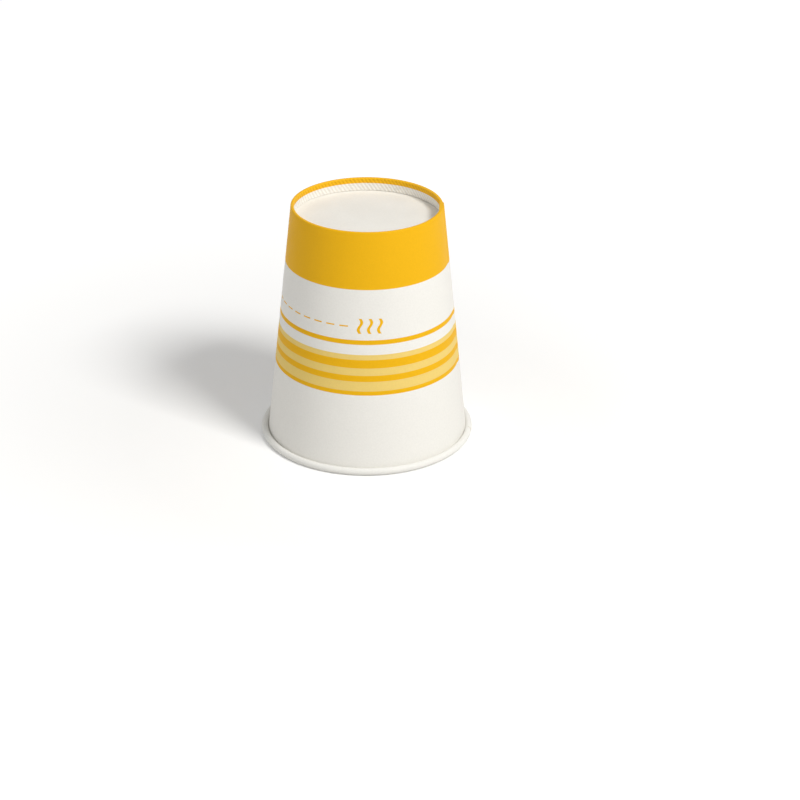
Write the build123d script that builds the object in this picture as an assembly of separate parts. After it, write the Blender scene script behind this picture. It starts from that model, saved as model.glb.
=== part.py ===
"""Single-wall paper hot cup, standing mouth down on its rolled rim.

The cup is two pieces of board. The side wall is one sheet wrapped round to an
overlapped side seam, with its mouth edge rolled outwards and its foot edge
folded inwards. The base is a disc with a skirt, and the skirt is sealed
between the wall and the folded hem. The origin is on the floor at the middle
of the mouth, and +Z runs up the axis to the foot. Sizes are in millimetres
and angles in degrees.
"""
from build123d import *
from math import acos, atan2, cos, degrees, hypot, radians, sin, tan
import os

# Overall sizes
cup_height = 91.0        # from the floor under the rolled rim to the foot
rim_diameter = 80.0      # across the outside of the rolled rim
foot_diameter = 55.5     # across the outside of the foot

# Board and the clearance between two sealed layers of it
wall_board = 0.38
base_board = 0.36
seal_gap = 0.03

# Rolled rim
roll_diameter = 3.0      # across the roll's outer turn
roll_tuck = 60.0         # turn of the end that is tucked inside the roll
roll_gap = 0.12          # between the tucked end and the turn round it
roll_band = 45.0         # turn of each straight band that the roll is made of

# Foot and base
base_recess = 5.6        # from the foot's edge in to the base
hem_depth = 5.0          # from the foot's edge to the hem's cut edge
fold_bend = 0.0          # inside radius of the foot's folds and the base's bend
fold_band = 100.0        # turn of the one straight band round each of them
sharp_fold = 0.001       # radius under which a fold has no band
skirt_clearance = 0.15   # between the skirt's edge and the fold

# Side seam
seam_angle = 4.0         # the outer flap's cut edge, round from +X
seam_lap = 7.0           # width of the two overlapped flaps
seam_ramp = 2.0          # width over which the outer flap climbs
lap_rise = 0.30          # how far the pressed outer flap stands proud
edge_step = 0.18         # step inside the cup at the inner flap's cut edge
ramp_start = 0.02        # thickness at which a ramp runs out
groove_over = 90.0       # turn of the groove over the top of the roll

# Places that follow from the sizes above
rim_radius = rim_diameter / 2
foot_radius = foot_diameter / 2
roll_radius = roll_diameter / 2
roll_centre = (rim_radius - roll_radius, roll_radius)


def wall_lean():
    """Lean of the wall from upright, from the roll's tangent to the foot."""
    rise = cup_height - roll_centre[1]
    run = roll_centre[0] - foot_radius
    inner_turn = roll_radius - wall_board
    return degrees(acos(inner_turn / hypot(run, rise)) - atan2(rise, run))


lean = wall_lean()
up_wall = (-sin(radians(lean)), cos(radians(lean)))
into_cup = (-cos(radians(lean)), -sin(radians(lean)))


def point_at_height(depth, height):
    """Point at a height on the line that lies a depth inside the outer face."""
    inner_turn = roll_radius - wall_board + depth
    start_r = roll_centre[0] + inner_turn * into_cup[0]
    start_z = roll_centre[1] + inner_turn * into_cup[1]
    along = (height - start_z) / up_wall[1]
    return (start_r + along * up_wall[0], height)


def straight(start, end):
    """A straight stretch of a board's path."""
    return ("straight", start, end)


def bend(centre, radius, start_angle, turn, band):
    """A bend made of straight bands; a turn under zero is clockwise."""
    count = round(abs(turn) / band)
    angles = [radians(start_angle + turn * step / count) for step in range(count + 1)]
    return ("bend", centre, radius if turn > 0 else -radius, angles)


def bent_path(points, radius):
    """Straight stretches through points, joined by bends to the left."""
    path = []
    start = points[0]
    for before, corner, after in zip(points, points[1:], points[2:]):
        way_in = atan2(corner[1] - before[1], corner[0] - before[0])
        way_out = atan2(after[1] - corner[1], after[0] - corner[0])
        turn = degrees(way_out - way_in) % 360
        trim = radius * tan(radians(turn) / 2)
        stop = (corner[0] - trim * cos(way_in), corner[1] - trim * sin(way_in))
        centre = (stop[0] - radius * sin(way_in), stop[1] + radius * cos(way_in))
        path.append(straight(start, stop))
        path.append(bend(centre, radius, degrees(way_in) - 90, turn, fold_band))
        start = (corner[0] + trim * cos(way_out), corner[1] + trim * sin(way_out))
    path.append(straight(start, points[-1]))
    return path


def beside(stretch, shift):
    """What runs a shift to the left of a stretch; nothing inside a sharp fold."""
    if stretch[0] == "straight":
        start, end = stretch[1], stretch[2]
        length = hypot(end[0] - start[0], end[1] - start[1])
        left = (-(end[1] - start[1]) / length, (end[0] - start[0]) / length)
        first = (start[0] + shift * left[0], start[1] + shift * left[1])
        last = (end[0] + shift * left[0], end[1] + shift * left[1])
        return [Line(first, last)]
    centre, signed_radius, angles = stretch[1:]
    reach = abs(signed_radius - shift)
    if reach < sharp_fold:
        return []
    points = [(centre[0] + reach * cos(a), centre[1] + reach * sin(a)) for a in angles]
    return [Polyline(*points)]


def board_section(path, right, left):
    """Upright section of a layer, from a shift right to a shift left of a path."""
    near = [edge for stretch in path for edge in beside(stretch, right)]
    far = [edge for stretch in path for edge in beside(stretch, left)]
    ends = [Line(near[0] @ 0, far[0] @ 0), Line(near[-1] @ 1, far[-1] @ 1)]
    return Plane.XZ * make_face(Curve() + near + far + ends)


def roll_path():
    """Path of the rolled rim, from the tucked end out and down to the wall.

    The half turn under the roll is two quarters, so that bands meet at the
    rim's widest and lowest circles.
    """
    outer_turn = roll_radius - wall_board / 2
    tucked_turn = outer_turn - wall_board - roll_gap
    over_turn = (outer_turn + tucked_turn) / 2
    over_centre = (roll_centre[0] + outer_turn - over_turn, roll_centre[1])
    tucked = bend(roll_centre, tucked_turn, 180 + roll_tuck, -roll_tuck, roll_band)
    to_top = bend(over_centre, over_turn, 180, groove_over - 180, roll_band)
    over = bend(over_centre, over_turn, groove_over, -groove_over, roll_band)
    down = bend(roll_centre, outer_turn, 360, -90, roll_band)
    under = bend(roll_centre, outer_turn, 270, lean - 90, roll_band)
    return [tucked, to_top, over, down, under]


def wall_path():
    """Path of the wall, over the foot's fold and down the hem."""
    middle = wall_board / 2
    hem_middle = middle + wall_board + base_board + 2 * seal_gap
    fold_height = cup_height - middle
    tangent_height = roll_centre[1] + (roll_radius - middle) * into_cup[1]
    points = [
        point_at_height(middle, tangent_height),
        point_at_height(middle, fold_height),
        point_at_height(hem_middle, fold_height),
        point_at_height(hem_middle, cup_height - hem_depth),
    ]
    return bent_path(points, fold_bend + middle)


def angle_round(width):
    """Angle that a width takes up round the middle of the wall."""
    return degrees(width / ((rim_radius + foot_radius) / 2))


def turned(section, angle):
    """A section carried round the cup's axis."""
    return section.rotate(Axis.Z, angle)


def outer_flap():
    """Outer flap of the seam: a ramp up, the lap and its cut edge."""
    path = wall_path()
    roof = cup_height + lap_rise
    in_roll = point_at_height(wall_board / 2, roll_centre[1] + wall_board)
    path[0] = straight(in_roll, path[0][2])
    thin = board_section(path, -wall_board / 2 - ramp_start, 0)
    full = board_section(path, -wall_board / 2 - lap_rise, 0)
    lap_start = seam_angle - angle_round(seam_lap)
    ramp_from = lap_start - angle_round(seam_ramp)
    lap = revolve(turned(full, lap_start), Axis.Z, angle_round(seam_lap))
    ramp = loft([turned(thin, ramp_from), turned(full, lap_start)], ruled=True)
    above = Pos(0, 0, roof) * Box(rim_diameter, rim_diameter, 2 * lap_rise)
    return lap + ramp - above


def inner_edge_groove():
    """What the outer flap leaves bare beside the inner flap's cut edge."""
    open_side = wall_board / 2 + seal_gap
    base_height = cup_height - base_recess - 2 * base_board
    straight_wall = straight(wall_path()[0][1], point_at_height(wall_board / 2, base_height))
    path = roll_path()[2:] + [straight_wall]
    thin = board_section(path, wall_board / 2 - ramp_start, open_side)
    full = board_section(path, wall_board / 2 - edge_step, open_side)
    lap_start = seam_angle - angle_round(seam_lap)
    ramp_from = lap_start - angle_round(seam_ramp)
    return loft([turned(thin, ramp_from), turned(full, lap_start)], ruled=True)


def side_wall():
    """The side wall: rolled rim, leaning wall, side seam and folded foot."""
    section = board_section(roll_path() + wall_path(), -wall_board / 2, wall_board / 2)
    return revolve(section, Axis.Z) + outer_flap() - inner_edge_groove()


def base_disc():
    """The base: a recessed disc and the skirt that stands in the fold."""
    middle = base_board / 2
    skirt_depth = wall_board + seal_gap + middle
    disc_height = cup_height - base_recess - middle
    skirt_height = cup_height - wall_board - skirt_clearance
    points = [
        (0, disc_height),
        point_at_height(skirt_depth, disc_height),
        point_at_height(skirt_depth, skirt_height),
    ]
    section = board_section(bent_path(points, fold_bend + middle), -middle, middle)
    return revolve(section, Axis.Z)


def write(name, solid):
    """Write one piece to the parts folder under its own name."""
    solid.label = name
    export_step(solid, "parts/" + name + ".step")


os.makedirs("parts", exist_ok=True)
write("side_wall", side_wall())
write("base_disc", base_disc())
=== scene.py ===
"""Looks of a paper hot cup that stands mouth down on its rolled rim.

The side wall and the base are modelled again on the frame's sizes, with round
bends, the side seam and the sheet's own print. All lengths are in metres and
all angles in degrees, unless a name says otherwise.
"""
from __future__ import annotations

import logging
from dataclasses import dataclass
from enum import Enum
from math import acos, atan2, ceil, cos, degrees, hypot, pi, radians, sin

import bmesh
import bpy
from mathutils import Matrix, Vector

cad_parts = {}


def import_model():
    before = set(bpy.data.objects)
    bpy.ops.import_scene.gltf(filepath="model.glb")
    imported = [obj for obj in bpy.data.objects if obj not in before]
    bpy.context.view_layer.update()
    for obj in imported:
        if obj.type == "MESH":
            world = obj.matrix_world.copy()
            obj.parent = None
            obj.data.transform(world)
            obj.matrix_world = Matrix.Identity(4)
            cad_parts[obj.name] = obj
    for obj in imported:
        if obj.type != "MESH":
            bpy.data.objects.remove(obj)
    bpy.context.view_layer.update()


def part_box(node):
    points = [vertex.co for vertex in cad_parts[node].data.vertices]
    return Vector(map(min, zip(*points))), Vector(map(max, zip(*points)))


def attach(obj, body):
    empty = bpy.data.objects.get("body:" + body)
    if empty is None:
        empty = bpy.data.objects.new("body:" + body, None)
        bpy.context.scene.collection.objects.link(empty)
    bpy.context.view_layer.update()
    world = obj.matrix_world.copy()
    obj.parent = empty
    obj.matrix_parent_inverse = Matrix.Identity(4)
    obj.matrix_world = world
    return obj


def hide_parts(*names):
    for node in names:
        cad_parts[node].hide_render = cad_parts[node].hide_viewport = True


Colour = tuple[float, float, float]
Point = tuple[float, float]
MM = 0.001
WELD = 0.001 * MM
SHARP_EDGE = 25.0
WHITE_LIGHT = (1.0, 1.0, 1.0, 1.0)
log = logging.getLogger("hot_cup")


class Slot(Enum):
    """Names of the two board materials."""

    PRINTED = "printed_board"
    PLAIN = "plain_board"


class Side(Enum):
    """What a face of the side wall's sheet is."""

    FOOD = 0.0
    CUT_EDGE = 0.5
    PRINTED = 1.0


class Value:
    """A socket that takes part in expressions; each operator adds a node."""

    def __init__(self, board: NodeBoard, socket: bpy.types.NodeSocket) -> None:
        """Wrap a socket.

        Args:
            board: The node board that the socket is on.
            socket: The output socket that carries the number.
        """
        self.board = board
        self.socket = socket

    def __add__(self, other: Value | float) -> Value:
        """Sum."""
        return self.board.math("ADD", self, other)

    def __radd__(self, other: float) -> Value:
        """Sum, with the number first."""
        return self.board.math("ADD", other, self)

    def __sub__(self, other: Value | float) -> Value:
        """Difference."""
        return self.board.math("SUBTRACT", self, other)

    def __rsub__(self, other: float) -> Value:
        """Difference, with the number first."""
        return self.board.math("SUBTRACT", other, self)

    def __mul__(self, other: Value | float) -> Value:
        """Product."""
        return self.board.math("MULTIPLY", self, other)

    def __rmul__(self, other: float) -> Value:
        """Product, with the number first."""
        return self.board.math("MULTIPLY", other, self)

    def __truediv__(self, other: Value | float) -> Value:
        """Quotient."""
        return self.board.math("DIVIDE", self, other)

    def __rtruediv__(self, other: float) -> Value:
        """Quotient, with the number first."""
        return self.board.math("DIVIDE", other, self)

    def __neg__(self) -> Value:
        """The number with its sign turned."""
        return self.board.math("MULTIPLY", self, -1.0)

    def __mod__(self, other: float) -> Value:
        """What is left over, never under zero."""
        return self.board.math("FLOORED_MODULO", self, other)

    def __rmod__(self, other: float) -> Value:
        """What is left over, with the number first."""
        return self.board.math("FLOORED_MODULO", other, self)

    def __gt__(self, other: Value | float) -> Value:
        """One where the number is greater, and zero elsewhere."""
        return self.board.math("GREATER_THAN", self, other)

    def __lt__(self, other: Value | float) -> Value:
        """One where the number is less, and zero elsewhere."""
        return self.board.math("LESS_THAN", self, other)

    def __abs__(self) -> Value:
        """The number without its sign."""
        return self.board.math("ABSOLUTE", self)

    def sine(self) -> Value:
        """Sine of the number, in radians."""
        return self.board.math("SINE", self)

    def clamped(self) -> Value:
        """The number held between zero and one."""
        return self.board.math("ADD", self, 0.0, clamp=True)

    def between(self, low: float, high: float, soft: float) -> Value:
        """A stripe.

        Args:
            low: Where the stripe starts.
            high: Where the stripe ends.
            soft: Width over which each of its edges fades.

        Returns:
            One inside the stripe and zero outside it.
        """
        rise = ((self - low) / soft + 0.5).clamped()
        fall = ((high - self) / soft + 0.5).clamped()
        return rise * fall


class NodeBoard:
    """The nodes of one material, with one method that adds any of them.

    Attributes:
        MIX_SHARE: A colour mix's socket for the share.
        MIX_LOW: Its socket for the first colour.
        MIX_HIGH: Its socket for the second colour.
        MIX_COLOUR: Its socket for the mixed colour.
    """

    MIX_SHARE = 0
    MIX_LOW = 6
    MIX_HIGH = 7
    MIX_COLOUR = 2

    def __init__(self, tree: bpy.types.NodeTree) -> None:
        """Start on an empty tree.

        Args:
            tree: The node tree to fill.
        """
        self.tree = tree
        self.tree.nodes.clear()

    def node(
        self,
        kind: str,
        settings: dict[str, object] | None = None,
        inputs: dict[int | str, object] | None = None,
    ) -> bpy.types.Node:
        """Add a node.

        Args:
            kind: The node's type.
            settings: Its own settings, which are set first.
            inputs: A number, colour or link for each named socket.

        Returns:
            The new node.
        """
        made = self.tree.nodes.new(kind)
        for name, setting in (settings or {}).items():
            setattr(made, name, setting)
        for name, given in (inputs or {}).items():
            if isinstance(given, Value):
                self.tree.links.new(given.socket, made.inputs[name])
            elif isinstance(given, bpy.types.NodeSocket):
                self.tree.links.new(given, made.inputs[name])
            else:
                made.inputs[name].default_value = given
        return made

    def math(self, operation: str, *terms: Value | float, clamp: bool = False) -> Value:
        """Add a Math node.

        Args:
            operation: What the node works out.
            terms: The numbers that it takes.
            clamp: Whether its result is held between zero and one.

        Returns:
            The node's result.
        """
        settings = {"operation": operation, "use_clamp": clamp}
        made = self.node("ShaderNodeMath", settings, dict(enumerate(terms)))
        return Value(self, made.outputs[0])

    def mixed(
        self, share: Value, low: Colour | bpy.types.NodeSocket, high: Colour
    ) -> bpy.types.NodeSocket:
        """Mix two colours.

        Args:
            share: How much of the second colour is taken.
            low: The colour, or the link of one, where the share is zero.
            high: The colour where the share is one.

        Returns:
            The socket of the mixed colour.
        """
        first = (*low, 1.0) if isinstance(low, tuple) else low
        second = (*high, 1.0) if isinstance(high, tuple) else high
        inputs = {self.MIX_SHARE: share, self.MIX_LOW: first, self.MIX_HIGH: second}
        made = self.node("ShaderNodeMix", {"data_type": "RGBA"}, inputs)
        return made.outputs[self.MIX_COLOUR]

    def attribute(self, name: str) -> Value:
        """A number that the mesh carries.

        Args:
            name: The attribute's name.

        Returns:
            The attribute's number.
        """
        settings = {"attribute_type": "GEOMETRY", "attribute_name": name}
        return Value(self, self.node("ShaderNodeAttribute", settings).outputs["Fac"])

    def place(self) -> bpy.types.NodeSocket:
        """The place on the object, in its own coordinates."""
        return self.node("ShaderNodeTexCoord").outputs["Object"]

    def seen(self) -> Value:
        """Whether a ray is the camera's, also by way of gloss or glass.

        Returns:
            One for such a ray and zero for the others.
        """
        path = self.node("ShaderNodeLightPath")
        straight = Value(self, path.outputs["Is Camera Ray"])
        mirrored = Value(self, path.outputs["Is Glossy Ray"])
        through = Value(self, path.outputs["Is Transmission Ray"])
        return (straight + mirrored + through).clamped()

    def noise(self, scale: float, detail: float) -> Value:
        """Cloudy noise over the object.

        Args:
            scale: Clouds to the metre.
            detail: How many finer layers the clouds have.

        Returns:
            The noise, around one half.
        """
        inputs = {"Vector": self.place(), "Scale": scale, "Detail": detail}
        made = self.node("ShaderNodeTexNoise", {"noise_dimensions": "3D"}, inputs)
        return Value(self, made.outputs["Fac"])

    def bump(self, height: Value, distance: float) -> bpy.types.NodeSocket:
        """Turn a height into a normal.

        Args:
            height: The height, in units of the distance.
            distance: The height of one, in metres.

        Returns:
            The socket of the normal.
        """
        inputs = {"Strength": 1.0, "Distance": distance, "Height": height}
        return self.node("ShaderNodeBump", {}, inputs).outputs["Normal"]


@dataclass(frozen=True)
class PaperFinish:
    """Coated paper board.

    Attributes:
        roughness: How dull the surface is.
        shine: How much its surface reflects.
        coat: Weight of the thin coating over it.
        coat_roughness: How dull the coating is.
        grain: Fibre clouds to the metre.
        grain_detail: Finer layers in the fibre clouds.
        grain_height: Height of the fibres, in metres.
        fleck: How far the colour strays over the fibres.
        cloud_size: Size of the dull and shiny clouds, in fibre clouds.
        cloud_detail: Finer layers in them.
        cloud_roughness: How far the roughness strays over them.
    """

    roughness: float = 0.55
    shine: float = 0.12
    coat: float = 0.02
    coat_roughness: float = 0.30
    grain: float = 1500.0
    grain_detail: float = 3.0
    grain_height: float = 0.000018
    fleck: float = 0.09
    cloud_size: float = 9.0
    cloud_detail: float = 2.0
    cloud_roughness: float = 0.1

    def shaded(
        self,
        board: NodeBoard,
        colour: bpy.types.NodeSocket,
        height: Value | float = 0.0,
    ) -> None:
        """Finish a material.

        Args:
            board: The material's nodes.
            colour: The surface's colour.
            height: Raised and pressed work, in units of the grain's height.
        """
        fibres = board.noise(self.grain, self.grain_detail)
        clouds = board.noise(self.grain / self.cloud_size, self.cloud_detail)
        normal = board.bump(fibres + height, self.grain_height)
        flecked = board.node(
            "ShaderNodeVectorMath",
            {"operation": "SCALE"},
            {0: colour, "Scale": (fibres - 0.5) * self.fleck + 1.0},
        )
        paint = {
            "Base Color": flecked.outputs[0],
            "Roughness": self.roughness + (clouds - 0.5) * self.cloud_roughness,
            "Specular IOR Level": self.shine,
            "Coat Weight": self.coat,
            "Coat Roughness": self.coat_roughness,
            "Normal": normal,
        }
        shader = board.node("ShaderNodeBsdfPrincipled", {}, paint)
        surface = {"Surface": shader.outputs["BSDF"]}
        board.node("ShaderNodeOutputMaterial", {}, surface)


@dataclass(frozen=True)
class PrintedBoard(PaperFinish):
    """The side wall's sheet: white board with a band, stripes and dashes.

    Places are distances along the cup's axis from the foot, in metres.

    Attributes:
        white: The bare printed side.
        painted_light_hem_white: The bare printed side on the pressed hem, painted lighter
            than the white as painted light for the light that bounces into the base's
            recess.
        food_side: The inside of the cup.
        rim: The rolled rim, which is the same side as the inside.
        cut_edge_and_groove_shade: The board's cut edge, whose colour is also the painted
            shade in a groove on the bare board.
        ink: The band's and stripes' yellow.
        painted_light_hem_ink: The band's yellow on the pressed hem, painted lighter than
            the ink as painted light for the light that bounces into the base's recess.
        painted_shade_groove_ink: The yellow painted darker down in a groove, as painted
            shade.
        pale_ink: The pale yellow between the stripes.
        band: The wide band, which starts on the hem, under zero.
        pale_zone: Where the pale yellow lies.
        stripes: The full yellow stripes.
        rim_from: Where the food side goes over to the rim's colour.
        line: The dashed line's start and end.
        line_start: Angle where the first dash starts.
        line_end: Angle where the last dash ends.
        dash_pitch: Angle from one dash to the next.
        dash: Angle that one dash takes up.
        dash_soft: Angle over which a dash's ends fade.
        sign_angle: Angle of the middle of the three steam waves.
        sign_middle: The waves' middle.
        sign_height: The waves' height.
        wave_count: How many waves there are.
        wave_gap: Distance from one wave to the next.
        wave_swing: How far a wave swings to each side.
        wave_width: A wave's width.
        soft: Width over which the print's edges fade.
        side_soft: The same between the sheet's sides, as the mesh tells them apart.
        knurl_zone: Where the hem is pressed, under zero.
        knurl_fade: Distance over which the grooves run out.
        knurl_count: Pressed grooves round the hem.
        knurl_slant: How far a groove turns, in turns of the groove, to the metre.
        knurl_depth: Depth of a groove, in units of the grain's height.
        painted_groove_shade: Share of painted shade, the darker colour, in the middle of
            a groove.
    """

    white: Colour = (0.86, 0.845, 0.80)
    # Painted light: the hem's white and yellow are lighter copies of the sheet's own
    # colours, for the light bounced into the base's recess.
    painted_light_hem_white: Colour = (0.92, 0.91, 0.87)
    food_side: Colour = (0.84, 0.79, 0.68)
    rim: Colour = (0.85, 0.84, 0.80)
    # The cut edge's colour, which also serves as painted shade in the grooves on the bare
    # board.
    cut_edge_and_groove_shade: Colour = (0.74, 0.70, 0.62)
    ink: Colour = (0.86, 0.465, 0.006)
    painted_light_hem_ink: Colour = (0.93, 0.51, 0.015)
    # Painted shade: a darker copy of the yellow for the grooves.
    painted_shade_groove_ink: Colour = (0.70, 0.34, 0.004)
    pale_ink: Colour = (0.86, 0.63, 0.185)
    band: Point = (-0.0021, 0.02102)
    pale_zone: Point = (0.04532, 0.06)
    stripes: tuple[Point, ...] = (
        (0.03977, 0.04151),
        (0.04728, 0.05040),
        (0.05324, 0.05550),
        (0.05919, 0.06074),
    )
    rim_from: Point = (0.086, 0.088)
    line: Point = (0.03445, 0.03495)
    line_start: float = 102.45
    line_end: float = 352.0
    dash_pitch: float = 9.35
    dash: float = 5.9
    dash_soft: float = 0.15
    sign_angle: float = 88.0
    sign_middle: float = 0.0345
    sign_height: float = 0.0056
    wave_count: int = 3
    wave_gap: float = 0.0036
    wave_swing: float = 0.0006
    wave_width: float = 0.0011
    soft: float = 0.00008
    side_soft: float = 0.01
    knurl_zone: Point = (-0.0052, -0.0004)
    knurl_fade: float = 0.0004
    knurl_count: int = 114
    knurl_slant: float = 450.0
    knurl_depth: float = 5.0
    painted_groove_shade: float = 0.60

    def material(self, sheet_radius: float) -> bpy.types.Material:
        """Make the material.

        Args:
            sheet_radius: Radius of the wall at the steam waves.

        Returns:
            The material, which reads the sheet's own attributes.
        """
        made = bpy.data.materials.new("printed_board")
        made.use_nodes = True
        board = NodeBoard(made.node_tree)
        side = board.attribute("sheet_side")
        place = board.attribute("sheet_place")
        edge = Side.CUT_EDGE.value
        printed = side > (edge + Side.PRINTED.value) / 2
        cut = side.between(edge / 2, edge + edge / 2, self.side_soft)
        hem = place < 0.0
        angle = self.angle(board)
        colour = board.mixed(printed, self.food_colour(board, place), self.white)
        # Painted light: the bare board on the hem is painted lighter.
        colour = board.mixed(printed * hem, colour, self.painted_light_hem_white)
        pale = place.between(*self.pale_zone, self.soft) * printed
        colour = board.mixed(pale, colour, self.pale_ink)
        full = (self.full_ink(place, angle, sheet_radius) * printed).clamped()
        colour = board.mixed(full * (1.0 - hem), colour, self.ink)
        # Painted light: the yellow on the hem is painted lighter.
        colour = board.mixed(full * hem, colour, self.painted_light_hem_ink)
        groove = self.knurl(place, angle) * printed
        # Painted shade: the grooves' middles are painted darker, standing in for the
        # shade down in them.
        shade = groove * self.painted_groove_shade
        colour = board.mixed(shade * (1.0 - full), colour, self.cut_edge_and_groove_shade)
        colour = board.mixed(shade * full, colour, self.painted_shade_groove_ink)
        colour = board.mixed(cut, colour, self.cut_edge_and_groove_shade)
        self.shaded(board, colour, groove * -self.knurl_depth)
        return made

    def angle(self, board: NodeBoard) -> Value:
        """Angle round the cup, in degrees, against the sense of +Z.

        Args:
            board: The material's nodes.

        Returns:
            The angle, from 0 to 360.
        """
        parts = board.node("ShaderNodeSeparateXYZ", {}, {"Vector": board.place()})
        x = Value(board, parts.outputs["X"])
        y = Value(board, parts.outputs["Y"])
        turn = board.math("ARCTAN2", -y, x)
        return (turn * (180 / pi)) % 360.0

    def food_colour(self, board: NodeBoard, place: Value) -> bpy.types.NodeSocket:
        """Colour of the food side, which is whiter on the rolled rim.

        Args:
            board: The material's nodes.
            place: Distance from the foot.

        Returns:
            The socket of the colour.
        """
        start, end = self.rim_from
        on_rim = ((place - start) / (end - start)).clamped()
        return board.mixed(on_rim, self.food_side, self.rim)

    def full_ink(self, place: Value, angle: Value, sheet_radius: float) -> Value:
        """Where the full yellow lies.

        Args:
            place: Distance from the foot.
            angle: Angle round the cup.
            sheet_radius: Radius of the wall at the steam waves.

        Returns:
            One on the ink and zero elsewhere.
        """
        inked = place.between(*self.band, self.soft)
        for stripe in self.stripes:
            inked = inked + place.between(*stripe, self.soft)
        return inked + self.dashes(place, angle) + self.waves(place, angle, sheet_radius)

    def dashes(self, place: Value, angle: Value) -> Value:
        """The dashed line.

        Args:
            place: Distance from the foot.
            angle: Angle round the cup.

        Returns:
            One on a dash and zero elsewhere.
        """
        along = (angle - self.line_start) % self.dash_pitch
        one = along.between(0.0, self.dash, self.dash_soft)
        start = self.line_start - self.dash_soft
        whole = angle.between(start, self.line_end, self.dash_soft)
        return one * whole * place.between(*self.line, self.soft)

    def waves(self, place: Value, angle: Value, sheet_radius: float) -> Value:
        """Three steam waves, side by side.

        Args:
            place: Distance from the foot.
            angle: Angle round the cup.
            sheet_radius: Radius of the wall at the waves.

        Returns:
            One on a wave and zero elsewhere.
        """
        half_height = self.sign_height / 2
        half_width = self.wave_count * self.wave_gap / 2
        up = place - self.sign_middle
        across = (angle - self.sign_angle) * radians(1) * sheet_radius
        swing = (up * (2 * pi / self.sign_height)).sine() * self.wave_swing
        near = abs((across + half_width) % self.wave_gap - self.wave_gap / 2 - swing)
        within = across.between(-half_width, half_width, self.soft)
        line = ((self.wave_width / 2 - near) / self.soft + 0.5).clamped()
        return line * within * up.between(-half_height, half_height, self.soft)

    def knurl(self, place: Value, angle: Value) -> Value:
        """Slanted grooves pressed into the hem.

        Args:
            place: Distance from the foot, under zero on the hem.
            angle: Angle round the cup.

        Returns:
            One along the middle of a groove and zero between two.
        """
        turns = angle * (self.knurl_count / 360) + place * self.knurl_slant
        groove = 0.5 - (turns * (2 * pi)).sine() * 0.5
        return groove * place.between(*self.knurl_zone, self.knurl_fade)


@dataclass(frozen=True)
class PlainBoard(PaperFinish):
    """The base's white board.

    Attributes:
        white: Colour of the board.
        shade: Colour of its faint clouds.
        cloud_scale: Clouds to the metre.
        cloud_low: Noise under which the board is all shade.
        cloud_gain: How sharply the two colours part.
    """

    white: Colour = (0.89, 0.872, 0.82)
    shade: Colour = (0.86, 0.84, 0.785)
    cloud_scale: float = 60.0
    cloud_low: float = 0.35
    cloud_gain: float = 3.0

    def material(self) -> bpy.types.Material:
        """Make the material.

        Returns:
            The material, with faint clouds and the paper's grain.
        """
        made = bpy.data.materials.new("plain_board")
        made.use_nodes = True
        board = NodeBoard(made.node_tree)
        noise = board.noise(self.cloud_scale, self.cloud_detail)
        clouds = ((noise - self.cloud_low) * self.cloud_gain).clamped()
        colour = board.mixed(clouds, self.shade, self.white)
        self.shaded(board, colour)
        return made


class Pen:
    """Draws an upright section in the XZ plane, one edge after another."""

    def __init__(self, mesh: bmesh.types.BMesh, start: Point) -> None:
        """Set the pen down.

        Args:
            mesh: The mesh to draw in.
            start: Radius and height of the first point.
        """
        self.mesh = mesh
        self.side = mesh.verts.layers.float["side"]
        self.first = mesh.verts.new((start[0], 0.0, start[1]))
        self.tip = self.first
        self.drawn: list[bmesh.types.BMVert] = [self.first]

    def on(self, side: Side) -> None:
        """Say which side of the sheet the next points are on."""
        self.tip[self.side] = side.value

    def line_to(self, point: Point, side: Side | None = None) -> None:
        """Draw a straight edge.

        Args:
            point: Radius and height of its end.
            side: The side that its end is on, if it isn't the same.
        """
        made = bmesh.ops.extrude_vert_indiv(self.mesh, verts=[self.tip])
        end = made["verts"][0]
        end.co = Vector((point[0], 0.0, point[1]))
        end[self.side] = self.tip[self.side] if side is None else side.value
        self.tip = end
        self.drawn.append(end)

    def swing(self, centre: Point, turn: float, facet: float) -> None:
        """Draw an arc from the tip.

        Args:
            centre: Radius and height of the arc's centre.
            turn: Its angle, which is under zero when clockwise.
            facet: The most that one of its edges turns.
        """
        steps = ceil(abs(turn) / facet)
        middle = Vector((centre[0], 0.0, centre[1]))
        turned = Matrix.Rotation(radians(turn) / steps, 3, (0.0, -1.0, 0.0))
        for _ in range(steps):
            end = middle + turned @ (self.tip.co - middle)
            self.line_to((end.x, end.z))

    def close(self) -> list[bmesh.types.BMEdge]:
        """Join the tip to the first point.

        Returns:
            Every edge of the closed section.
        """
        self.mesh.edges.new((self.tip, self.first))
        pairs = zip(self.drawn, self.drawn[1:] + self.drawn[:1])
        return [self.mesh.edges.get(pair) for pair in pairs]


def edges_of(geometry: list[object]) -> list[bmesh.types.BMEdge]:
    """The edges among some geometry.

    Args:
        geometry: Vertices, edges and faces.

    Returns:
        The edges alone.
    """
    return [item for item in geometry if isinstance(item, bmesh.types.BMEdge)]


def spun(
    mesh: bmesh.types.BMesh, edges: list[bmesh.types.BMEdge], turn: float, steps: int
) -> list[bmesh.types.BMEdge]:
    """Carry edges round the cup's axis.

    Args:
        mesh: The mesh that they are in.
        edges: The edges to carry.
        turn: The angle.
        steps: How many faces the angle takes.

    Returns:
        The edges at the end of the turn.
    """
    corners = {vert for edge in edges for vert in edge.verts}
    made = bmesh.ops.spin(
        mesh,
        geom=[*corners, *edges],
        cent=(0.0, 0.0, 0.0),
        axis=(0.0, 0.0, 1.0),
        angle=radians(turn),
        steps=steps,
    )
    return edges_of(made["geom_last"])


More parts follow.
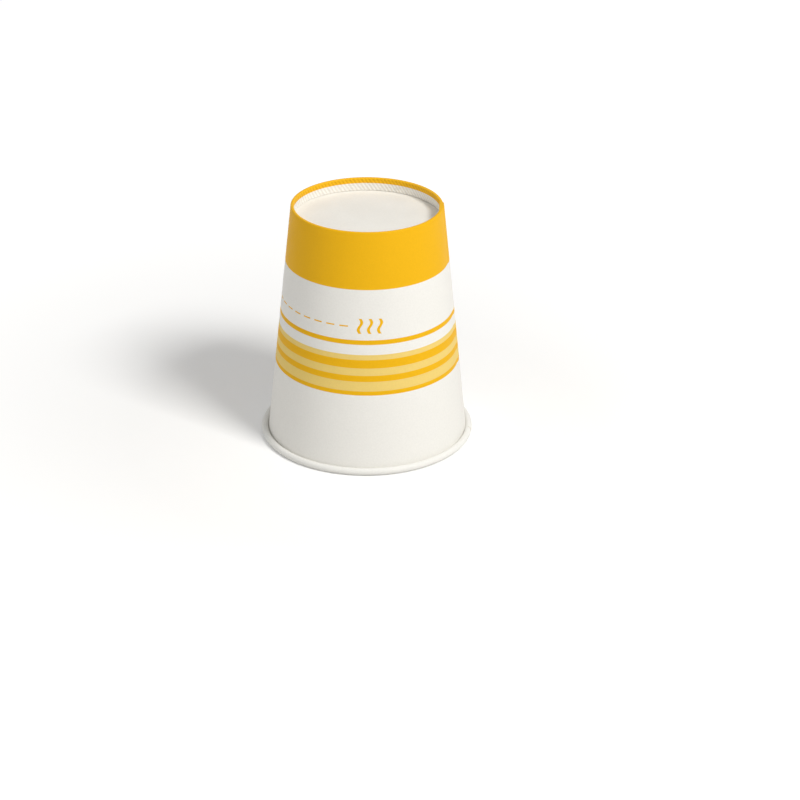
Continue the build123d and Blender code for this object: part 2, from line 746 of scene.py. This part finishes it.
def placed(name: str, data: bpy.types.ID) -> bpy.types.Object:
    """Put an object in the scene.

    Args:
        name: The object's name.
        data: Its mesh, light or camera.

    Returns:
        The object, at the origin.
    """
    made = bpy.data.objects.new(name, data)
    bpy.context.scene.collection.objects.link(made)
    return made


def finished(mesh: bmesh.types.BMesh, name: str) -> bpy.types.Object:
    """Close a mesh, smooth it and put it in the scene.

    Args:
        mesh: The mesh, which is used up.
        name: The object's name.

    Returns:
        The object, at the origin.
    """
    bmesh.ops.recalc_face_normals(mesh, faces=mesh.faces)
    for face in mesh.faces:
        face.smooth = True
    for edge in mesh.edges:
        edge.smooth = edge.is_manifold and edge.calc_face_angle() < radians(SHARP_EDGE)
    data = bpy.data.meshes.new(name)
    mesh.to_mesh(data)
    mesh.free()
    made = placed(name, data)
    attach(made, "root")
    return made


@dataclass
class SideWall:
    """The side wall: rolled rim, leaning wall, side seam and folded foot.

    Attributes:
        rim_radius: Outside of the rolled rim.
        height: From the floor to the foot.
        finish: The sheet's finish.
        foot_radius: Outside of the foot.
        board: Thickness of the sheet.
        base_board: Thickness of the base's skirt, which the hem leaves room for.
        seal: Clearance between sealed layers.
        roll: Diameter of the rolled rim.
        roll_gap: Clearance between the roll's turns.
        roll_tuck: Turn of the end that is tucked inside the roll.
        hem: Depth of the hem.
        base_recess: From the foot to the base.
        seam_angle: Angle of the outer flap's cut edge.
        lap: Angle of the overlap.
        ramp: Angle over which the outer flap climbs.
        lap_rise: How far the outer flap stands proud.
        edge_step: Step inside the cup at the inner flap's cut edge.
        roll_facet: The most that one edge of the roll's section turns.
        fold_facets: Edges in each of the foot's two bends.
        printed_rows: Rows of faces on the printed side, in mm from the foot.
        food_rows: Rows of faces on the food side, in mm from the foot.
        round_faces: Faces round the single sheet.
        lap_faces: Faces round the overlap.
        cut_facing: How squarely a face looks round the cup, if it is a cut edge.
    """

    rim_radius: float
    height: float
    finish: PrintedBoard
    foot_radius: float = 27.75 * MM
    board: float = 0.38 * MM
    base_board: float = 0.36 * MM
    seal: float = 0.03 * MM
    roll: float = 3.0 * MM
    roll_gap: float = 0.12 * MM
    roll_tuck: float = 60.0
    hem: float = 5.0 * MM
    base_recess: float = 5.6 * MM
    seam_angle: float = 4.0
    lap: float = 11.84
    ramp: float = 3.38
    lap_rise: float = 0.30 * MM
    edge_step: float = 0.18 * MM
    roll_facet: float = 10.0
    fold_facets: int = 5
    printed_rows: tuple[float, ...] = (60, 46, 34, 20, 12, 6, 2)
    food_rows: tuple[float, ...] = (12, 20, 34, 46, 60, 75)
    round_faces: int = 230
    lap_faces: int = 8
    cut_facing: float = 0.8

    def __post_init__(self) -> None:
        """Work out the roll's centre and the wall's lean."""
        self.centre: Point = (self.rim_radius - self.roll / 2, self.roll / 2)
        rise = self.height - self.centre[1]
        run = self.centre[0] - self.foot_radius
        inner_turn = self.roll / 2 - self.board
        lean = acos(inner_turn / hypot(run, rise)) - atan2(rise, run)
        self.lean = degrees(lean)
        self.up = (-sin(lean), cos(lean))
        self.inward = (-cos(lean), -sin(lean))

    def at(self, depth: float, height: float) -> Point:
        """A point on the wall.

        Args:
            depth: Distance inside the wall's outer face.
            height: Height from the floor.

        Returns:
            Its radius and height.
        """
        reach = self.roll / 2 - self.board + depth
        start_r = self.centre[0] + reach * self.inward[0]
        start_z = self.centre[1] + reach * self.inward[1]
        along = (height - start_z) / self.up[1]
        return (start_r + along * self.up[0], height)

    def radius_at(self, from_foot: float) -> float:
        """Radius of the wall's outer face at a distance from the foot."""
        return self.at(0.0, self.height - from_foot)[0]

    def section(
        self, mesh: bmesh.types.BMesh, rise: float, step: float
    ) -> list[bmesh.types.BMEdge]:
        """Draw the sheet's closed section.

        Args:
            mesh: The mesh to draw in.
            rise: How far the outer face stands proud here.
            step: How far the inner face is stepped back here.

        Returns:
            The section's edges.
        """
        outer_turn = self.roll / 2
        tuck_turn = outer_turn - self.board - self.roll_gap
        over_turn = (outer_turn + tuck_turn) / 2
        over_centre = (self.centre[0] + outer_turn - over_turn, self.centre[1])
        tuck_angle = radians(180 + self.roll_tuck)
        inside = tuck_turn - self.board
        pen = Pen(
            mesh,
            (
                self.centre[0] + inside * cos(tuck_angle),
                self.centre[1] + inside * sin(tuck_angle),
            ),
        )
        pen.on(Side.PRINTED)
        pen.swing(self.centre, -self.roll_tuck, self.roll_facet)
        pen.swing(over_centre, -180, self.roll_facet)
        pen.swing(self.centre, self.lean - 180, self.roll_facet)
        self.printed_wall(pen, rise)
        self.food_wall(pen, step)
        pen.swing(self.centre, 90 - self.lean, self.roll_facet)
        pen.swing(self.centre, 90, self.roll_facet)
        pen.line_to((over_centre[0] + over_turn - step, over_centre[1]))
        pen.swing(over_centre, 90, self.roll_facet)
        pen.line_to((over_centre[0], over_centre[1] + over_turn))
        pen.swing(over_centre, 90, self.roll_facet)
        pen.swing(self.centre, self.roll_tuck, self.roll_facet)
        return pen.close()

    def printed_wall(self, pen: Pen, rise: float) -> None:
        """Draw the printed side from the roll, over the fold, to the hem's edge.

        Args:
            pen: The pen, at the end of the roll.
            rise: How far the outer face stands proud here.
        """
        flap_foot = self.centre[1] + self.board
        hem_outer = 2 * self.board + self.base_board + 2 * self.seal
        fold = self.board
        pen.line_to(self.at(0.0, flap_foot))
        pen.line_to(self.at(-rise, flap_foot))
        for from_foot in self.printed_rows:
            pen.line_to(self.at(-rise, self.height - from_foot * MM))
        first = self.at(fold, self.height - fold)
        self.fold_over(pen, first, fold + rise, self.lean, 90 - self.lean)
        second = self.at(hem_outer - fold, self.height - fold)
        self.fold_over(pen, second, fold + rise, 90, 90 + self.lean)
        pen.line_to(self.at(hem_outer + rise, self.height - self.hem))

    def fold_over(
        self, pen: Pen, centre: Point, radius: float, start: float, turn: float
    ) -> None:
        """Draw one of the foot's two bends, flat where it would pass the foot.

        Args:
            pen: The pen.
            centre: The bend's centre.
            radius: The bend's radius.
            start: Angle where it starts.
            turn: Its angle.
        """
        for step in range(self.fold_facets + 1):
            angle = radians(start + turn * step / self.fold_facets)
            height = min(centre[1] + radius * sin(angle), self.height)
            pen.line_to((centre[0] + radius * cos(angle), height))

    def food_wall(self, pen: Pen, step: float) -> None:
        """Draw the food side from the hem's edge, back over the fold, to the roll.

        Args:
            pen: The pen, at the hem's cut edge.
            step: How far the inner face is stepped back here.
        """
        skirt_room = self.board + self.base_board + 2 * self.seal
        under_fold = self.height - self.board
        step_top = self.height - self.base_recess - 2 * self.base_board
        pen.line_to(self.at(skirt_room, self.height - self.hem), Side.FOOD)
        pen.line_to(self.at(skirt_room, under_fold))
        pen.line_to(self.at(self.board, under_fold))
        pen.line_to(self.at(self.board, step_top))
        for from_foot in self.food_rows:
            pen.line_to(self.at(self.board - step, self.height - from_foot * MM))
        reach = self.roll / 2 - step
        pen.line_to(
            (
                self.centre[0] + reach * self.inward[0],
                self.centre[1] + reach * self.inward[1],
            )
        )

    def build(self) -> bpy.types.Object:
        """Build the sheet and dress it.

        Returns:
            The side wall, which stands for the frame's own.
        """
        mesh = bmesh.new()
        mesh.verts.layers.float.new("side")
        plain = self.section(mesh, 0.0, 0.0)
        stepped = self.section(mesh, self.lap_rise, self.edge_step)
        lapped = self.section(mesh, self.lap_rise, 0.0)
        lap_start = self.seam_angle - self.lap
        self.turn(mesh, plain, self.seam_angle)
        self.turn(mesh, stepped, lap_start)
        self.turn(mesh, lapped, lap_start)
        round_turn = 360 - self.lap - self.ramp
        plain_end = spun(mesh, plain, round_turn, self.round_faces)
        lapped_end = spun(mesh, lapped, self.lap, self.lap_faces)
        bmesh.ops.bridge_loops(mesh, edges=plain_end + stepped)
        bmesh.ops.bridge_loops(mesh, edges=stepped + lapped)
        bmesh.ops.bridge_loops(mesh, edges=lapped_end + plain)
        bmesh.ops.remove_doubles(mesh, verts=mesh.verts, dist=WELD)
        self.mark(mesh)
        made = finished(mesh, "side_wall_board")
        sheet_radius = self.radius_at(self.finish.sign_middle)
        made.data.materials.append(self.finish.material(sheet_radius))
        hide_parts("side_wall")
        return made

    def turn(
        self, mesh: bmesh.types.BMesh, edges: list[bmesh.types.BMEdge], angle: float
    ) -> None:
        """Turn a section round the cup's axis.

        Args:
            mesh: The mesh that it is in.
            edges: The section's edges.
            angle: The angle.
        """
        corners = list({vert for edge in edges for vert in edge.verts})
        rotation = Matrix.Rotation(radians(angle), 3, "Z")
        bmesh.ops.rotate(mesh, cent=(0.0, 0.0, 0.0), matrix=rotation, verts=corners)

    def mark(self, mesh: bmesh.types.BMesh) -> None:
        """Store on the mesh which side a face is and how far the sheet has come.

        Args:
            mesh: The whole sheet.
        """
        side = mesh.verts.layers.float["side"]
        face_side = mesh.faces.layers.float.new("sheet_side")
        place = mesh.verts.layers.float.new("sheet_place")
        hem_line = self.board + self.base_board / 2 + self.seal
        for vert in mesh.verts:
            from_foot = self.height - vert.co.z
            inside = hypot(vert.co.x, vert.co.y) < self.at(hem_line, vert.co.z)[0]
            on_foot = from_foot < self.base_recess
            on_hem = inside and on_foot and vert[side] > Side.CUT_EDGE.value
            vert[place] = -from_foot if on_hem else from_foot
        for face in mesh.faces:
            middle = face.calc_center_median()
            along = Vector((-middle.y, middle.x, 0.0)).normalized()
            mean = sum(vert[side] for vert in face.verts) / len(face.verts)
            cut = abs(face.normal.dot(along)) > self.cut_facing
            face[face_side] = Side.CUT_EDGE.value if cut else mean


@dataclass
class Base:
    """The base: a recessed disc and the skirt that stands in the fold.

    Attributes:
        wall: The side wall that it is sealed into.
        finish: The base's finish.
        recess: From the foot to the disc.
        bend: Inside radius between the disc and its skirt.
        clearance: Between the skirt's edge and the fold.
        bend_facet: The most that one edge of the bend's section turns.
        round_faces: Faces round the base.
    """

    wall: SideWall
    finish: PlainBoard
    recess: float = 5.35 * MM
    bend: float = 0.5 * MM
    clearance: float = 0.15 * MM
    bend_facet: float = 12.5
    round_faces: int = 240

    def build(self) -> bpy.types.Object:
        """Build the base and dress it.

        Returns:
            The base, which stands for the frame's own.
        """
        wall = self.wall
        board = wall.base_board
        outer = wall.board + wall.seal
        top = wall.height - self.recess
        skirt_top = wall.height - wall.board - self.clearance
        corner = wall.at(outer + board + self.bend, top + self.bend)
        mesh = bmesh.new()
        mesh.verts.layers.float.new("side")
        pen = Pen(mesh, (0.0, top - board))
        pen.line_to((corner[0] / 2, top - board))
        pen.line_to((corner[0], top - board))
        pen.swing(corner, 90 + wall.lean, self.bend_facet)
        pen.line_to(wall.at(outer, skirt_top))
        pen.line_to(wall.at(outer + board, skirt_top))
        pen.line_to(self.inner_tangent(corner))
        pen.swing(corner, -(90 + wall.lean), self.bend_facet)
        pen.line_to((corner[0] / 2, top))
        pen.line_to((0.0, top))
        bmesh.ops.spin(
            mesh,
            geom=[*mesh.verts, *mesh.edges],
            cent=(0.0, 0.0, 0.0),
            axis=(0.0, 0.0, 1.0),
            angle=2 * pi,
            steps=self.round_faces,
            use_merge=True,
        )
        bmesh.ops.remove_doubles(mesh, verts=mesh.verts, dist=WELD)
        made = finished(mesh, "base_board")
        made.data.materials.append(self.finish.material())
        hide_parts("base_disc")
        return made

    def inner_tangent(self, corner: Point) -> Point:
        """Where the skirt's inner face meets its bend.

        Args:
            corner: The bend's centre.

        Returns:
            Radius and height of the point.
        """
        lean = radians(self.wall.lean)
        return (corner[0] + self.bend * cos(lean), corner[1] + self.bend * sin(lean))


@dataclass(frozen=True)
class Lamp:
    """One soft lamp.

    Attributes:
        name: The lamp's name.
        place: Where it stands.
        size: Width of its square.
        watts: Its power.
        colour: Its colour.
    """

    name: str
    place: tuple[float, float, float]
    size: float
    watts: float
    colour: Colour = (1.0, 1.0, 1.0)

    def build(self, target: Vector) -> bpy.types.Object:
        """Hang the lamp.

        Args:
            target: What it points at.

        Returns:
            The lamp.
        """
        data = bpy.data.lights.new(self.name, "AREA")
        data.size = self.size
        data.energy = self.watts
        data.color = self.colour
        made = placed(self.name, data)
        made.location = self.place
        made.rotation_euler = (target - made.location).to_track_quat("-Z", "Y").to_euler()
        return made


@dataclass(frozen=True)
class Studio:
    """Pale floor, soft light and the camera.

    Attributes:
        floor_half: Half the floor's width.
        floor_colour: The floor's colour.
        floor_seen: The floor's colour to the camera, so that it is white.
        near_glow: Painted light that the camera sees added to the floor by the cup, kept
            weak so that the cup's shadow stays dark.
        far_glow: Painted light that it sees added away from the cup, so that the floor is
            white there.
        glow_reach: Distances between which the one goes over to the other.
        sky: Strength of the even light all round.
        lamps: The soft lamps.
        camera_back: Distance of the camera from the axis.
        camera_height: Height of the camera.
        pan: Turn of the camera to the right.
        pitch: Tilt of the camera.
        roll: Roll of the camera.
        lens: Focal length in millimetres.
        sensor: Width of the camera's sensor in millimetres.
        clip: Nearest and farthest that the camera sees.
    """

    floor_half: float = 6.0
    floor_colour: Colour = (0.80, 0.795, 0.785)
    floor_seen: Colour = (0.99, 0.99, 0.985)
    near_glow: float = 0.08
    far_glow: float = 0.40
    glow_reach: Point = (0.09, 0.32)
    sky: float = 0.40
    lamps: tuple[Lamp, ...] = (
        Lamp("key", (0.62, -0.58, 0.96), 0.36, 10.8, (1.0, 0.99, 0.97)),
        Lamp("fill", (-1.10, -0.35, 0.26), 0.80, 1.9),
    )
    camera_back: float = 0.732035
    camera_height: float = 0.378207
    pan: float = 0.982584
    pitch: float = -26.61405
    roll: float = 0.453805
    lens: float = 97.015
    sensor: float = 36.0
    clip: Point = (0.01, 50.0)

    def build(self, height: float) -> bpy.types.Object:
        """Build the whole studio.

        Args:
            height: Height of the object.

        Returns:
            The floor.
        """
        self.build_sky()
        for lamp in self.lamps:
            lamp.build(Vector((0.0, 0.0, height / 2)))
        self.build_camera()
        return self.build_floor()

    def build_floor(self) -> bpy.types.Object:
        """Lay the floor, which is white to the camera and keeps shadows.

        Returns:
            The floor.
        """
        mesh = bmesh.new()
        bmesh.ops.create_grid(mesh, x_segments=1, y_segments=1, size=self.floor_half)
        data = bpy.data.meshes.new("floor")
        mesh.to_mesh(data)
        mesh.free()
        floor = placed("floor", data)
        material = bpy.data.materials.new("floor_paint")
        material.use_nodes = True
        board = NodeBoard(material.node_tree)
        seen = board.seen()
        away = board.node(
            "ShaderNodeVectorMath", {"operation": "LENGTH"}, {0: board.place()}
        )
        # Painted light on the floor, seen only by the camera: weak by the cup and strong
        # away from it.
        near, far = self.glow_reach
        share = ((Value(board, away.outputs["Value"]) - near) / (far - near)).clamped()
        glow = seen * (self.near_glow + share * (self.far_glow - self.near_glow))
        paint = {"Color": board.mixed(seen, self.floor_colour, self.floor_seen)}
        diffuse = board.node("ShaderNodeBsdfDiffuse", {}, paint)
        white = {"Color": WHITE_LIGHT, "Strength": glow}
        emission = board.node("ShaderNodeEmission", {}, white)
        both = {0: diffuse.outputs[0], 1: emission.outputs[0]}
        added = board.node("ShaderNodeAddShader", {}, both)
        board.node("ShaderNodeOutputMaterial", {}, {"Surface": added.outputs[0]})
        data.materials.append(material)
        return floor

    def build_sky(self) -> None:
        """Fill the world with even light, which the camera sees as white."""
        world = bpy.data.worlds.new("studio_sky")
        bpy.context.scene.world = world
        world.use_nodes = True
        board = NodeBoard(world.node_tree)
        seen = board.seen()
        strength = self.sky + seen * (1.0 - self.sky)
        white = {"Color": WHITE_LIGHT, "Strength": strength}
        background = board.node("ShaderNodeBackground", {}, white)
        board.node("ShaderNodeOutputWorld", {}, {"Surface": background.outputs[0]})

    def build_camera(self) -> None:
        """Set up the camera."""
        data = bpy.data.cameras.new("camera")
        data.lens = self.lens
        data.sensor_width = self.sensor
        data.clip_start, data.clip_end = self.clip
        camera = placed("camera", data)
        turn = Matrix.Rotation(radians(-self.pan), 4, "Z")
        tilt = Matrix.Rotation(radians(90 + self.pitch), 4, "X")
        roll = Matrix.Rotation(radians(self.roll), 4, "Z")
        stand = Matrix.Translation((0.0, -self.camera_back, self.camera_height))
        camera.matrix_world = stand @ turn @ tilt @ roll
        bpy.context.scene.camera = camera
        bpy.context.scene.view_settings.view_transform = "Standard"


def corners(box: tuple[Vector, Vector]) -> list[list[float]]:
    """A box as plain lists.

    Args:
        box: Its lowest and highest corner.

    Returns:
        The two corners.
    """
    return [[float(number) for number in corner] for corner in box]


def main() -> None:
    """Build the cup and its studio on the frame."""
    logging.basicConfig(level=logging.INFO, format="%(name)s: %(message)s")
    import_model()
    low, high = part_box("side_wall")
    wall = SideWall(rim_radius=high.x, height=high.z, finish=PrintedBoard())
    for piece in (wall.build(), Base(wall=wall, finish=PlainBoard()).build()):
        log.info("%s: %d faces", piece.name, len(piece.data.polygons))
    floor = Studio().build(high.z)
    log.info("%s laid at height %.4f", floor.name, low.z)


if __name__ == "__main__":
    main()
